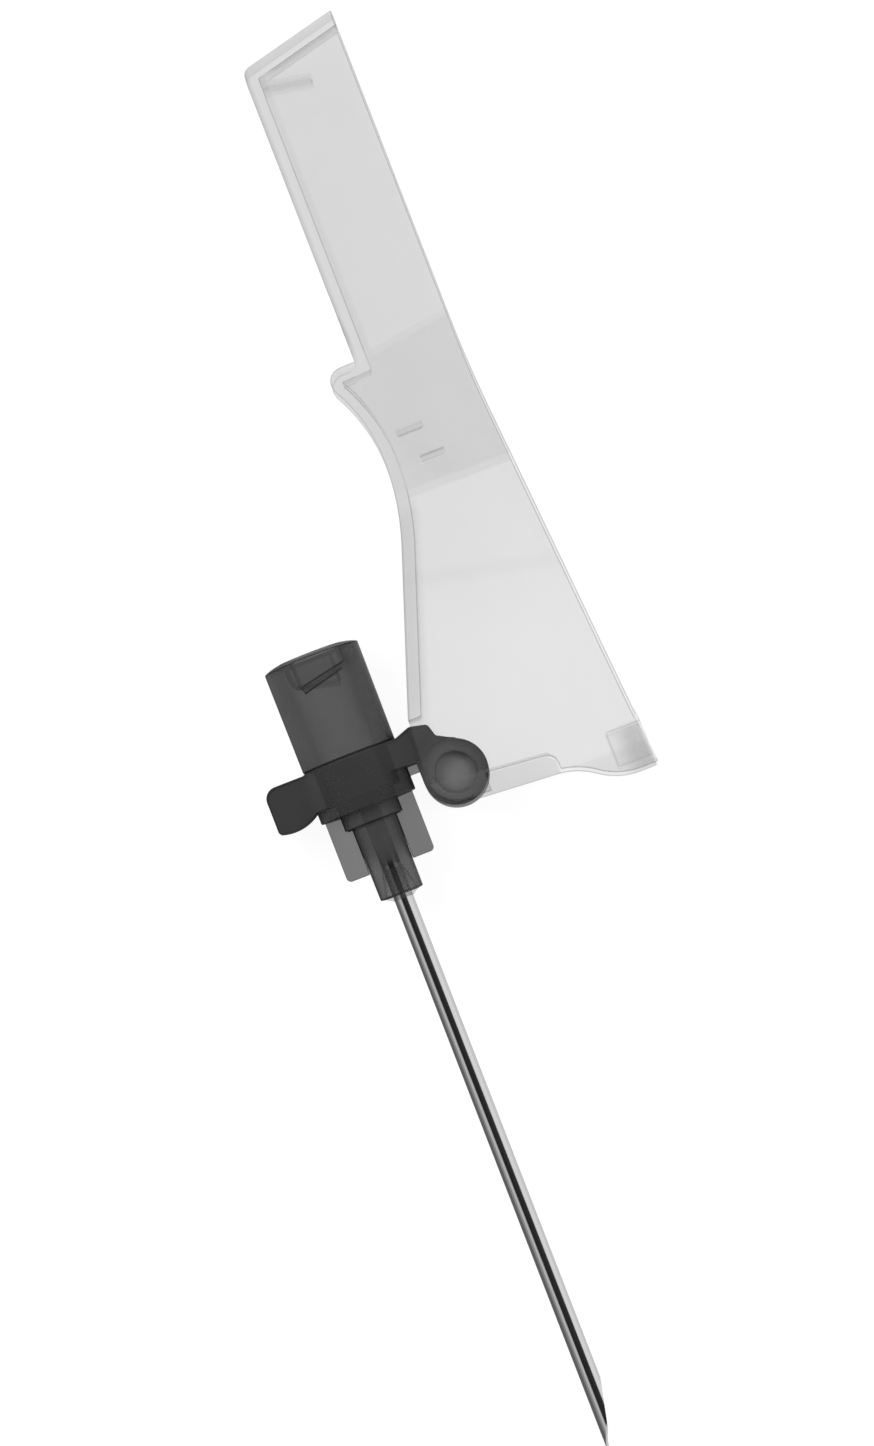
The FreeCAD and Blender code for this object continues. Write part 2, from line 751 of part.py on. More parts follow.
def make_shield(doc, s):
    """Clear shield, one moulding: a channel open on one side that flares to a base with two ears."""
    x0, y0 = s.PivotX, -s.PivotDepth
    inner_half = barrel_half(s) + s.SideGap
    hollow = new_body(doc, "hollow")
    flared_block(
        hollow, "Hollow", hollow_side(hollow, s), s, inner_half, s.ChannelHalf - s.ShieldWall
    )

    body = new_body(doc, "shield")
    flared_block(body, "Block", shield_side(body, s), s, inner_half + s.ShieldWall, s.ChannelHalf)
    end_corner = upright_edge(x0 + s.SpineX, y0 + s.ShieldReach - s.EndSlant)
    round_edges(body, "EndCorner", end_corner, s.EndCorner)
    round_edges(body, "PadCorner", upright_edge(None, y0 + s.PadTipY), s.PadCorner)
    round_edges(body, "ChannelEdges", channel_edge(s), s.SpineEdge)
    opened = body.newObject("PartDesign::Boolean", "Opened")
    opened.Type = "Cut"
    opened.setObjects([hollow])
    doc.recompute()

    boss_tip = barrel_half(s) - s.SocketHingeDepth + s.SideGap
    into_wall = inner_half + s.ShieldWall / 2
    inward_pair(
        body, "Boss", lambda face: circle(face, x0, y0, s.BossRadius), boss_tip, into_wall - boss_tip
    )
    catch_tip = s.WingHalf + s.CatchGap
    catch_right = x0 + s.BaseX - s.CatchGap
    catch_low = y0 - s.BaseDrop + s.CatchInset

    def catch(face):
        rectangle(face, catch_right - s.CatchLength, catch_right, catch_low, catch_low + s.CatchDepth)

    inward_pair(body, "Catch", catch, catch_tip, into_wall - catch_tip)

    sketch = new_sketch(body, "RibSide")
    left, high = x0 + s.SpineX + s.ShieldWall / 2, y0 + s.ShieldReach - s.RibDrop
    outline = Outline(sketch, left, high).line(left + s.RibLength, high - s.RibFall)
    outline.line(left + s.RibLength, high - s.RibFall + s.RibThick).line(left, high + s.RibThick).close()
    plate(body, "Rib", sketch, s.ChannelHalf - s.ShieldWall / 2)

    # One finger on each sloping flank, one above the other. Both stop just short of the closed needle.
    finger_tip = s.TubeRadius + s.FingerGap
    narrowing = (inner_half + s.ShieldWall - s.ChannelHalf) / (s.FlareHigh - s.FlareLow)
    for name, sign, x, y in (
        ("Upper", 1, s.FingerX - s.FingerLength / 2, s.FingerY),
        ("Lower", -1, s.FingerX, s.FingerY - s.FingerStep),
    ):
        sketch = new_sketch(body, f"{name}FingerFace")
        bind_offset(sketch, sign * finger_tip)
        rectangle(sketch, x0 + x, x0 + x + s.FingerLength, y0 + y, y0 + y + s.FingerThick)
        pad = body.newObject("PartDesign::Pad", f"{name}Finger")
        pad.Profile = sketch
        pad.Reversed = sign < 0
        wall_middle = inner_half + s.ShieldWall / 2 - narrowing * (y - s.FlareLow)
        bind(pad, "Length", wall_middle - finger_tip)
        doc.recompute()

    # The upper wall's base edge is cut back beside the hinge.
    sketch = new_sketch(body, "NotchFace")
    low = y0 - s.BaseStep
    outline = Outline(sketch, x0 + s.NotchLeft, low + s.NotchRise)
    outline.line(x0 + s.NotchRight, low + s.NotchSide).line(x0 + s.NotchRight, low - OVERCUT)
    outline.line(x0 + s.NotchLeft, low - OVERCUT).close()
    before = body.Shape.Volume
    notch = body.newObject("PartDesign::Pocket", "Notch")
    notch.Profile = sketch
    notch.Reversed = True
    bind(notch, "Length", inner_half + OVERCUT)
    doc.recompute()
    if not body.Shape.Volume < before:
        raise RuntimeError("Notch cuts nothing")
    round_edges(body, "NotchRound", upright_edge(x0 + s.NotchRight, low + s.NotchSide), s.NotchCorner)
    return body


def check(doc, bodies):
    """Stop if any object failed or any sub-part is empty or broken."""
    for item in doc.Objects:
        if "Invalid" in item.State or "Error" in item.State:
            raise RuntimeError(f"{item.Label} failed: {item.State}")
    for body in bodies:
        if body.Shape.isNull() or not body.Shape.isValid() or len(body.Shape.Solids) != 1:
            raise RuntimeError(f"{body.Label} has no single valid solid")


def main():
    doc = FreeCAD.newDocument("SafetyNeedle")
    s = Sizes(doc)
    makers = (make_tube, make_hub, make_bead, make_collar, make_shield)
    bodies = [make(doc, s) for make in makers]
    doc.recompute()
    check(doc, bodies)
    for body in bodies:
        box = body.Shape.BoundBox
        extent = f"{box.XLength:.2f} x {box.YLength:.2f} x {box.ZLength:.2f}"
        print(f"{body.Label}: {body.Shape.Volume:.3f} mm3, {extent}")
        body.Shape.exportStep(f"parts/{body.Label}.step")


main()
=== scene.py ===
"""Looks for the safety hypodermic needle: steel tube, charcoal hub and clear hinged shield.

The moulding class takes a CAD node, copies it, softens its edges and dresses it. Each finish is a
class of its own. The studio class makes the floor, the lamps and the camera.
"""

import logging
import math
from dataclasses import dataclass
from enum import Enum
from typing import Optional, Union

import bpy
from mathutils import Matrix, Vector


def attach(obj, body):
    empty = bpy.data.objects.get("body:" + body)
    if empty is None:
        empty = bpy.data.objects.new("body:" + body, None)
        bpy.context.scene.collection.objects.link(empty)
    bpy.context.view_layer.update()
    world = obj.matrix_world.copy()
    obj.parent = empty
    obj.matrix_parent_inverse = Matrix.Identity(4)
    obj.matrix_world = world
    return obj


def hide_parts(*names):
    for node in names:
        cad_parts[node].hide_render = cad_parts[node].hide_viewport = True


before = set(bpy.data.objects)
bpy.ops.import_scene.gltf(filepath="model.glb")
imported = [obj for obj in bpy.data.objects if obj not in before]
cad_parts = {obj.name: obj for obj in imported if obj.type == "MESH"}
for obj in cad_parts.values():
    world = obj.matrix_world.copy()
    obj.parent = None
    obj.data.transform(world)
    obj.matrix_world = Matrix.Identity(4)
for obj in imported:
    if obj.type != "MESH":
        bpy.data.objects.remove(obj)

log = logging.getLogger("safety_needle")

MM = 0.001
Number = Union[float, "Shade"]
Colour = tuple[float, float, float, float]
Span = tuple[float, float]


def grey(value: float, alpha: float = 1.0) -> Colour:
    """A neutral colour."""
    return (value, value, value, alpha)


class Shade:
    """A shader value or colour that takes Python's operators.

    Args:
        maker: The material's node maker.
        socket: The output socket that carries it.
    """

    def __init__(self, maker: "NodeMaker", socket: Optional[bpy.types.NodeSocket]) -> None:
        """Keep the socket and the maker that adds nodes after it."""
        self.maker = maker
        self.socket = socket

    def _calc(self, operation: str, first: Number, second: Number = 0.0) -> "Shade":
        """Add one Math node.

        Args:
            operation: The node's operation.
            first: The first value.
            second: The second value.

        Returns:
            The node's result.
        """
        return self.maker.node("ShaderNodeMath", {"operation": operation}, {0: first, 1: second})

    def __add__(self, other: Number) -> "Shade":
        """Sum."""
        return self._calc("ADD", self, other)

    def __sub__(self, other: Number) -> "Shade":
        """Difference."""
        return self._calc("SUBTRACT", self, other)

    def __rsub__(self, other: Number) -> "Shade":
        """Difference from a plain number."""
        return self._calc("SUBTRACT", other, self)

    def __mul__(self, other: Number) -> "Shade":
        """Product."""
        return self._calc("MULTIPLY", self, other)

    def __pow__(self, other: Number) -> "Shade":
        """Power."""
        return self._calc("POWER", self, other)

    __radd__ = __add__
    __rmul__ = __mul__

    def at_least(self, other: Number) -> "Shade":
        """The larger of the two."""
        return self._calc("MAXIMUM", self, other)

    def at_most(self, other: Number) -> "Shade":
        """The smaller of the two."""
        return self._calc("MINIMUM", self, other)

    def step(self, start: float, end: float) -> "Shade":
        """A smooth rise from 0 to 1.

        Args:
            start: The value at which it leaves 0.
            end: The value at which it reaches 1, above or below the start.

        Returns:
            The share, from 0 to 1.
        """
        low, high = min(start, end), max(start, end)
        rise = self.maker.node(
            "ShaderNodeMapRange",
            {"interpolation_type": "SMOOTHSTEP"},
            {"Value": self, "From Min": low, "From Max": high, "To Min": 0.0, "To Max": 1.0},
        )
        return rise if start < end else 1.0 - rise

    def band(self, low: float, high: float, soft: float) -> "Shade":
        """A share that is 1 between two values and falls off softly outside them.

        Args:
            low: Where the band starts.
            high: Where the band ends.
            soft: The width of each soft side.

        Returns:
            The share, from 0 to 1.
        """
        return self.step(low - soft, low + soft) * self.step(high + soft, high - soft)


class NodeMaker:
    """Adds nodes to one node tree.

    Args:
        tree: The tree to work on. It is emptied first.
    """

    def __init__(self, tree: bpy.types.NodeTree) -> None:
        """Empty the tree."""
        self.tree = tree
        tree.nodes.clear()

    def node(
        self,
        kind: str,
        settings: Optional[dict[str, object]] = None,
        inputs: Optional[dict[Union[int, str], object]] = None,
        output: Union[int, str] = 0,
    ) -> Shade:
        """Add any node.

        Args:
            kind: The node's type.
            settings: Its options, set before its sockets.
            inputs: Values or links for its sockets, by name or number.
            output: Which output is wanted.

        Returns:
            That output, or an empty shade for a node that ends the tree.
        """
        made = self.tree.nodes.new(kind)
        for name, value in (settings or {}).items():
            setattr(made, name, value)
        for key, value in (inputs or {}).items():
            if isinstance(value, Shade):
                self.tree.links.new(value.socket, made.inputs[key])
            else:
                made.inputs[key].default_value = value
        return Shade(self, made.outputs[output] if made.outputs else None)

    def mix(self, share: Number, first: object, second: object) -> Shade:
        """Blend two colours."""
        return self.node(
            "ShaderNodeMix", {"data_type": "RGBA"}, {0: share, 6: first, 7: second}, output=2
        )

    def place(self) -> tuple[Shade, Shade, Shade]:
        """The point's place on the object, in millimetres along each axis."""
        point = self.node("ShaderNodeTexCoord", output="Object")
        scaled = self.node("ShaderNodeVectorMath", {"operation": "SCALE"}, {0: point, 3: 1.0 / MM})
        parts = [self.node("ShaderNodeSeparateXYZ", None, {0: scaled}, output=k) for k in range(3)]
        return parts[0], parts[1], parts[2]

    def rays(self) -> tuple[Shade, Shade, Shade]:
        """Whether a ray is the camera's, a mirror's or one that went through glass."""
        names = ("Is Camera Ray", "Is Glossy Ray", "Is Transmission Ray")
        parts = [self.node("ShaderNodeLightPath", output=name) for name in names]
        return parts[0], parts[1], parts[2]

    def noise(self, per_mm: tuple[float, float, float], detail: float = 3.0) -> Shade:
        """Cloudy noise around 0.5.

        Args:
            per_mm: How fast it changes along each axis, per millimetre.
            detail: How much fine structure it has.

        Returns:
            The noise.
        """
        point = self.node("ShaderNodeTexCoord", output="Object")
        scale = Vector(per_mm) / MM
        placed = self.node("ShaderNodeVectorMath", {"operation": "MULTIPLY"}, {0: point, 1: scale})
        return self.node(
            "ShaderNodeTexNoise", None, {"Vector": placed, "Scale": 1.0, "Detail": detail}
        )

    def bump(self, height: Shade, strength: float, distance: float) -> Shade:
        """A bump normal from a height."""
        return self.node(
            "ShaderNodeBump", None, {"Height": height, "Strength": strength, "Distance": distance}
        )

    def surface(self, inputs: dict[str, object], absorb_per_mm: float = 0.0) -> Shade:
        """Wire the main shader to the output.

        Args:
            inputs: The shader's values and links.
            absorb_per_mm: How fast the solid swallows light, or 0 for an opaque one.

        Returns:
            The shader.
        """
        shader = self.node("ShaderNodeBsdfPrincipled", None, inputs)
        ends = {"Surface": shader}
        if absorb_per_mm:
            ends["Volume"] = self.node(
                "ShaderNodeVolumeAbsorption",
                None,
                {"Color": grey(0.0), "Density": absorb_per_mm / MM},
            )
        self.node("ShaderNodeOutputMaterial", None, ends)
        return shader


def new_material(name: str) -> tuple[bpy.types.Material, NodeMaker]:
    """Start an empty node material.

    Args:
        name: Its name.

    Returns:
        The material and its node maker.
    """
    material = bpy.data.materials.new(name)
    material.use_nodes = True
    return material, NodeMaker(material.node_tree)


@dataclass(frozen=True)
class Slope:
    """A slanted line across the part, seen from above.

    Attributes:
        x_mm: The place along X at which its height is measured.
        fall: How much it falls for each millimetre along X.
    """

    x_mm: float
    fall: float

    def height(self, x: Shade, y: Shade) -> Shade:
        """How high along Y a point lies, once the slant is taken out."""
        return y + (x - self.x_mm) * self.fall


@dataclass(frozen=True)
class MouldedPlastic:
    """See-through moulded plastic: a skin that scatters a little, over a body that swallows light.

    Attributes:
        name: The material's name.
        tone: The skin's own grey.
        skin: How much of the light each surface stops, seen face on.
        rim: How much more it stops at a grazing angle.
        absorb: The body's absorption for each millimetre.
        gloss: How strongly the skin mirrors.
        roughness: How matt the skin is.
        cloud_per_mm: How fine the faint marks are that the molten plastic left as it flowed.
        grain_per_mm: How fine the moulded grain is.
        grain_mm: How deep the grain is.
        spread: How far those marks move the tone and the skin either way.
        rim_power: How close to a grazing angle the rim starts.
        bend: The index of refraction.
    """

    name: str
    tone: float
    skin: float
    rim: float
    absorb: float
    gloss: float = 0.5
    roughness: float = 0.25
    cloud_per_mm: float = 0.3
    grain_per_mm: float = 9.0
    grain_mm: float = 0.01
    spread: float = 0.15
    rim_power: float = 3.0
    bend: float = 1.49

    def zones(self, maker: NodeMaker) -> tuple[Number, Number]:
        """Where the skin differs over the piece. Plastics with zones of their own change it.

        Args:
            maker: The material's node maker.

        Returns:
            The skin's share face on, and how much more it stops at a grazing angle.
        """
        return self.skin, self.rim

    def painted_light_and_shade(self, maker: NodeMaker) -> Number:
        """How much lighter or darker than its tone the skin is, as painted light and shade. Some
        plastics change it.

        Args:
            maker: The material's node maker.

        Returns:
            The factor on the tone.
        """
        return 1.0

    def make(self) -> bpy.types.Material:
        """Build the material."""
        material, maker = new_material(self.name)
        rate, grain = self.cloud_per_mm, self.grain_per_mm
        cloud = maker.noise((rate, rate * 0.6, rate))
        fine = maker.noise((grain, grain, grain), 2.0)
        facing = maker.node("ShaderNodeLayerWeight", None, {"Blend": 0.5}, output="Facing")
        skin, rim = self.zones(maker)
        low, high = 1.0 - self.spread, 1.0 + self.spread
        plain = maker.mix(cloud, grey(self.tone * low), grey(self.tone * high))
        # The tone, scaled by the painted light and shade of the plastics that have it.
        tinted = maker.node(
            "ShaderNodeVectorMath", {"operation": "SCALE"}, {0: plain, 3: self.painted_light_and_shade(maker)}
        )
        stopped = (facing ** self.rim_power) * rim + (cloud * (high - low) + low) * skin
        maker.surface(
            {
                "Base Color": tinted,
                "Roughness": cloud * 0.12 + (self.roughness - 0.06),
                "Normal": maker.bump(fine, 0.1, self.grain_mm * MM),
                "Alpha": stopped.at_most(1.0),
                "IOR": self.bend,
                "Specular IOR Level": self.gloss,
            },
            self.absorb,
        )
        return material


@dataclass(frozen=True)
class HubPlastic(MouldedPlastic):
    """The hub's tinted plastic: a matt outside, a polished socket and a clearer nose, with painted
    shade on the nose.

    Attributes:
        inside: The skin in the socket.
        nose_skin: The skin on the nose.
        tip_skin: The skin on the nose's tip.
        well_share: How much of the skin and the rim is left on the well's wall.
        tube_share: How much of the skin is left along the glued tube.
        polished_rim: How much of the rim is left in the socket.
        nose_shade_tint: The factor on the tone on the nose, painted shade.
        tip_shade_tint: The factor on the tone on the nose's tip, painted shade.
        outside_mm: From the socket's wall to the outside, as distances from the axis.
        nose_mm: Where the nose starts, along Y.
        tip_mm: Where the tip's skin starts, along Y.
        tip_shade_mm: Where the tip's painted shade starts, along Y.
        well_mm: The well's wall, as distances from the axis.
        well_floor_mm: The well's floor, along Y.
        tube_half_mm: Half the width of the clearer stripe.
        tube_mm: Where the clearer stripe starts, along Y.
    """

    inside: float = 0.18
    nose_skin: float = 0.75
    tip_skin: float = 0.46
    well_share: float = 0.15
    tube_share: float = 0.25
    polished_rim: float = 0.1
    nose_shade_tint: float = 0.65
    tip_shade_tint: float = 0.62
    outside_mm: Span = (2.5, 2.9)
    nose_mm: Span = (-6.9, -7.1)
    tip_mm: Span = (-12.5, -14.5)
    tip_shade_mm: Span = (-12.5, -15.5)
    well_mm: Span = (1.2, 1.15)
    well_floor_mm: Span = (-14.2, -14.35)
    tube_half_mm: float = 0.24
    tube_mm: Span = (-13.9, -14.3)

    def zones(self, maker: NodeMaker) -> tuple[Number, Number]:
        """More skin outside the skirt than in the socket, less on the tip, least in the well.

        Along the glued tube the tip is clearer, so that the tube's dark middle shows through it.
        """
        x, y, z = maker.place()
        away = (x * x + z * z) ** 0.5
        outside = away.step(*self.outside_mm)
        nose = y.step(*self.nose_mm)
        skirt = outside * (self.skin - self.inside) + self.inside
        tip = y.step(*self.tip_mm) * (self.tip_skin - self.nose_skin)
        skin = skirt * (1.0 - nose) + nose * (tip + self.nose_skin)
        well = away.step(*self.well_mm) * y.step(*self.well_floor_mm)
        well = well * (self.well_share - 1.0) + 1.0
        tube = x.band(-self.tube_half_mm, self.tube_half_mm, 0.1) * y.step(*self.tube_mm)
        tube = tube * (self.tube_share - 1.0) + 1.0
        matt = outside.at_least(nose) * (1.0 - self.polished_rim) + self.polished_rim
        return skin * well * tube, matt * well * self.rim

    def painted_light_and_shade(self, maker: NodeMaker) -> Number:
        """Painted shade: darker on the nose and its tip, where the thick plastic lets less light
        through.
        """
        _, y, _ = maker.place()
        tip = y.step(*self.tip_shade_mm) * (self.tip_shade_tint - self.nose_shade_tint)
        return y.step(*self.nose_mm) * (self.nose_shade_tint - 1.0) + tip + 1.0


@dataclass(frozen=True)
class CollarPlastic(MouldedPlastic):
    """The collar's tinted plastic, with painted light in the barrel's sockets and at its ends, and
    painted shade on the wing.

    Attributes:
        pivot_mm: The hinge's axis, along X and Y.
        socket_mm: The sockets' radius.
        socket_skin: The skin in the sockets.
        socket_light_tint: The factor on the tone in the sockets, painted light.
        wall_share: How much of the rim is left on the sockets' walls.
        ring_mm: Where the barrel's lighter ends start, as distances from the axis.
        ring_light_tint: The factor on the tone on the barrel's ends, painted light.
        light_shift_mm: How far along X the painted light's centre lies from the axis.
        wing_mm: Where the wing starts, along X.
        wing_shade_tint: The factor on the tone on the wing, painted shade.
    """

    pivot_mm: Span = (6.05, -10.3)
    socket_mm: float = 1.36
    socket_skin: float = 0.85
    socket_light_tint: float = 4.2
    wall_share: float = 0.15
    ring_mm: Span = (2.4, 1.5)
    ring_light_tint: float = 2.2
    light_shift_mm: float = -0.3
    wing_mm: Span = (-2.8, -3.6)
    wing_shade_tint: float = 0.75

    def zones(self, maker: NodeMaker) -> tuple[Number, Number]:
        """A closer skin in the barrel's sockets, whose walls show less at a grazing angle."""
        away = self.away(maker)
        socket = away.step(self.socket_mm + 0.02, self.socket_mm - 0.06)
        wall = away.band(self.socket_mm - 0.05, self.socket_mm + 0.05, 0.03)
        skin = socket * (self.socket_skin - self.skin) + self.skin
        return skin, (1.0 - wall * (1.0 - self.wall_share)) * self.rim

    def away(self, maker: NodeMaker, shift_mm: float = 0.0) -> Shade:
        """The distance from the hinge's axis, in millimetres.

        Args:
            maker: The material's node maker.
            shift_mm: How far along X the centre is moved.

        Returns:
            The distance.
        """
        x, y, _ = maker.place()
        aside, along = x - (self.pivot_mm[0] + shift_mm), y - self.pivot_mm[1]
        return (aside * aside + along * along) ** 0.5

    def painted_light_and_shade(self, maker: NodeMaker) -> Number:
        """Painted light at the barrel's ends and, brightest, in its sockets, and painted shade on
        the wing.
        """
        x, _, _ = maker.place()
        away = self.away(maker, self.light_shift_mm)
        socket = away.step(self.socket_mm + 0.2, self.socket_mm - 0.4)
        socket = socket * (self.socket_light_tint - self.ring_light_tint)
        ring = away.step(*self.ring_mm) * (self.ring_light_tint - 1.0)
        return socket + ring + x.step(*self.wing_mm) * (self.wing_shade_tint - 1.0) + 1.0


NECK_LEAN = 0.326
RIB_LINE = Slope(10.0, 0.19)


@dataclass(frozen=True)
class ShieldPlastic(MouldedPlastic):
    """The shield's clear plastic, with painted shade on the flanks and the catches, where its
    sloping and thick walls look darker.

    Each skin value is added to the plain skin on the place that it is named for. Each line is the
    slant of that place's border.
    """

    flank_mm: Span = (7.6, 17.2)
    flank_line: Slope = Slope(12.0, -0.14)
    flank_shade_skin: float = 0.025
    channel_mm: Span = (16.6, 17.6)
    channel_skin: float = 0.02
    spine_skin: float = 0.02
    margin_mm: Span = (9.95, 9.6)
    margin_skin: float = 0.09
    fade_mm: Span = (-6.0, 8.0)
    fade_skin: float = 0.016
    seam_mm: Span = (12.0, 14.0)
    seam_skin: float = 0.02
    neck_top_mm: Span = (8.0, 6.0)
    neck_foot_mm: Span = (-9.0, -3.0)
    neck_wall_mm: Span = (8.13, 6.93)
    neck_skin: float = 0.07
    lip_y_mm: Span = (-12.4, -13.0)
    lip_x_mm: Span = (12.8, 13.4)
    lip_skin: float = 0.03
    catch_x_mm: Span = (15.9, 17.6)
    catch_y_mm: Span = (-11.2, -11.8)
    catch_shade_skin: float = 0.095
    notch_line: Slope = Slope(7.8, 0.098)
    notch_x_mm: Span = (12.5, 12.3)
    notch_y_mm: Span = (-10.86, -10.92)
    notch_corner_mm: Span = (0.7, 0.6)
    notch_skin: float = 0.12
    slanted_band_line: Slope = Slope(12.7, 0.23)
    slanted_band_mm: Span = (1.0, 1.6)
    slanted_band_skin: float = 0.017
    rib_x_mm: Span = (10.4, 14.6)
    rib_y_mm: Span = (34.3, 36.5)
    soft_zone_rim: float = 0.4

    def zones(self, maker: NodeMaker) -> tuple[Number, Number]:
        """The plain skin, and more on each zone; on the flanks and the catches the extra skin is
        painted shade.
        """
        x, y, _ = maker.place()
        low, high = self.flank_mm
        above = y.step(low - 0.15, low + 0.15)
        flank = above * self.flank_line.height(x, y).step(high + 0.15, high - 0.15)
        seam = y.band(low - 0.1, low + 0.1, 0.15) * x.step(*self.seam_mm)
        channel = y.step(*self.channel_mm)
        spine = channel * (x.step(10.5, 10.2) + x.band(10.4, 10.8, 0.2))
        margin = channel * x.step(*self.margin_mm)
        neck = y.step(*self.neck_top_mm) * y.step(*self.neck_foot_mm)
        neck = neck * (x - y * NECK_LEAN).step(*self.neck_wall_mm)
        lip = y.step(*self.lip_y_mm) * x.step(*self.lip_x_mm)
        catch = x.step(*self.catch_x_mm) * y.step(*self.catch_y_mm)
        notch = x.step(*self.notch_x_mm) * self.notch_line.height(x, y).step(*self.notch_y_mm)
        notch = notch * (x + y).step(*self.notch_corner_mm)
        # A soft, slightly darker band along a slanted line.
        slanted_band = self.slanted_band_line.height(x, y).band(*self.slanted_band_mm, 0.5)
        rib = x.band(*self.rib_x_mm, 0.1) * RIB_LINE.height(x, y).band(*self.rib_y_mm, 0.2)
        skin: Number = self.skin
        for zone, more in (
            (flank, self.flank_shade_skin),
            (above, self.channel_skin),
            (seam, self.seam_skin),
            (spine, self.spine_skin),
            (margin, self.margin_skin),
            (neck, self.neck_skin),
            (lip, self.lip_skin),
            (catch, self.catch_shade_skin),
            (notch, self.notch_skin),
            (slanted_band, self.slanted_band_skin),
            (y.step(*self.fade_mm), self.fade_skin),
        ):
            skin = zone * more + skin
        # The flanks, the catches and the rib show less darkening at a grazing angle.
        soft_rim_zones = flank.at_least(catch).at_least(rib)
        return skin, (1.0 - soft_rim_zones * (1.0 - self.soft_zone_rim)) * self.rim


@dataclass(frozen=True)
class ShieldEdgeShade(MouldedPlastic):
    """The shield's softened edges, painted darker: painted shade for the dark lines that clear
    plastic shows at its edges. Those on the catches, the fingers, the flanks and the rib are
    fainter.

    Attributes:
        faint_share: How much of the skin is left on the edges of the catches, the fingers, the
            flanks and the rib.
        soft: How much of it is left on the spine's and the neck's inner lines.
        catch_x_mm: The catches' edges, along X.
        catch_y_mm: The catches' edges nearest to the neck, along Y.
        catch_line: The slant of the catches' other edges.
        catch_low_mm: Those edges, along Y.
        fingers_x_mm: The fingers, along X.
        fingers_y_mm: The fingers, along Y.
        rib_x_mm: The rib, along X.
        rib_y_mm: The rib, along Y.
        flank_x_mm: The flank, along X, once its lean is taken out.
        flank_y_mm: The flank, along Y.
        flank_lean: How much the flank leans along X for each millimetre along Y.
        spine_x_mm: The channel's inner line, along X.
        spine_y_mm: Where the channel starts, along Y.
        neck_y_mm: Where the neck ends, along Y.
        neck_wall_mm: The neck's wall, along X, once its lean is taken out.
    """

    faint_share: float = 0.1
    soft: float = 0.45
    catch_x_mm: Span = (15.4, 15.7)
    catch_y_mm: Span = (-10.9, -11.2)
    catch_line: Slope = Slope(16.0, 0.1)
    catch_low_mm: Span = (-14.0, -13.8)
    fingers_x_mm: Span = (9.8, 13.5)
    fingers_y_mm: Span = (8.6, 12.1)
    rib_x_mm: Span = (10.8, 14.2)
    rib_y_mm: Span = (34.5, 36.3)
    flank_x_mm: Span = (10.0, 16.6)
    flank_y_mm: Span = (7.8, 17.0)
    flank_lean: float = -0.05
    spine_x_mm: Span = (10.2, 10.9)
    spine_y_mm: Span = (16.0, 17.0)
    neck_y_mm: Span = (8.0, 7.0)
    neck_wall_mm: Span = (9.6, 9.0)

    def zones(self, maker: NodeMaker) -> tuple[Number, Number]:
        """Fainter on the catches, the fingers, the flanks and the rib."""
        x, y, _ = maker.place()
        catch = x.step(*self.catch_x_mm) * y.step(*self.catch_y_mm)
        catch = catch * self.catch_line.height(x, y).step(*self.catch_low_mm)
        fingers = x.band(*self.fingers_x_mm, 0.2) * y.band(*self.fingers_y_mm, 0.2)
        rib = x.band(*self.rib_x_mm, 0.1) * RIB_LINE.height(x, y).band(*self.rib_y_mm, 0.2)
        leaned = x - y * self.flank_lean
        flank = leaned.band(*self.flank_x_mm, 0.2) * y.band(*self.flank_y_mm, 0.2)
        faint = catch.at_least(fingers).at_least(rib).at_least(flank)
        spine = x.band(*self.spine_x_mm, 0.1) * y.step(*self.spine_y_mm)
        neck = y.step(*self.neck_y_mm) * (x - y * NECK_LEAN).step(*self.neck_wall_mm)
        softer = spine.at_least(neck) * (1.0 - self.soft)
        return (1.0 - faint * (1.0 - self.faint_share)) * (1.0 - softer) * self.skin, self.rim


@dataclass(frozen=True)
class PolishedSteel:
    """Drawn and polished stainless tube."""

    name: str
    tone: float = 0.72

    def make(self) -> bpy.types.Material:
        """Build the material."""
        material, maker = new_material(self.name)
        drawn = maker.noise((9.0, 0.15, 9.0), 4.0)
        maker.surface(
            {
                "Base Color": maker.mix(drawn, grey(self.tone * 0.95), grey(self.tone * 1.05)),
                "Metallic": 1.0,
                "Roughness": drawn * 0.08 + 0.1,
                "Normal": maker.bump(drawn, 0.05, 0.01 * MM),
            }
        )
        return material


class Edge(Enum):
    """How much an edge of a moulded piece is softened, in millimetres."""

    FINE = 0.06
    MOULDED = 0.07


def clear_selection() -> None:
    """Leave edit mode and deselect everything."""
    if bpy.context.object and bpy.context.object.mode != "OBJECT":
        bpy.ops.object.mode_set(mode="OBJECT")
    bpy.ops.object.select_all(action="DESELECT")


def make_active(item: bpy.types.Object) -> None:
    """Select one object alone."""
    clear_selection()
    item.select_set(True)
    bpy.context.view_layer.objects.active = item


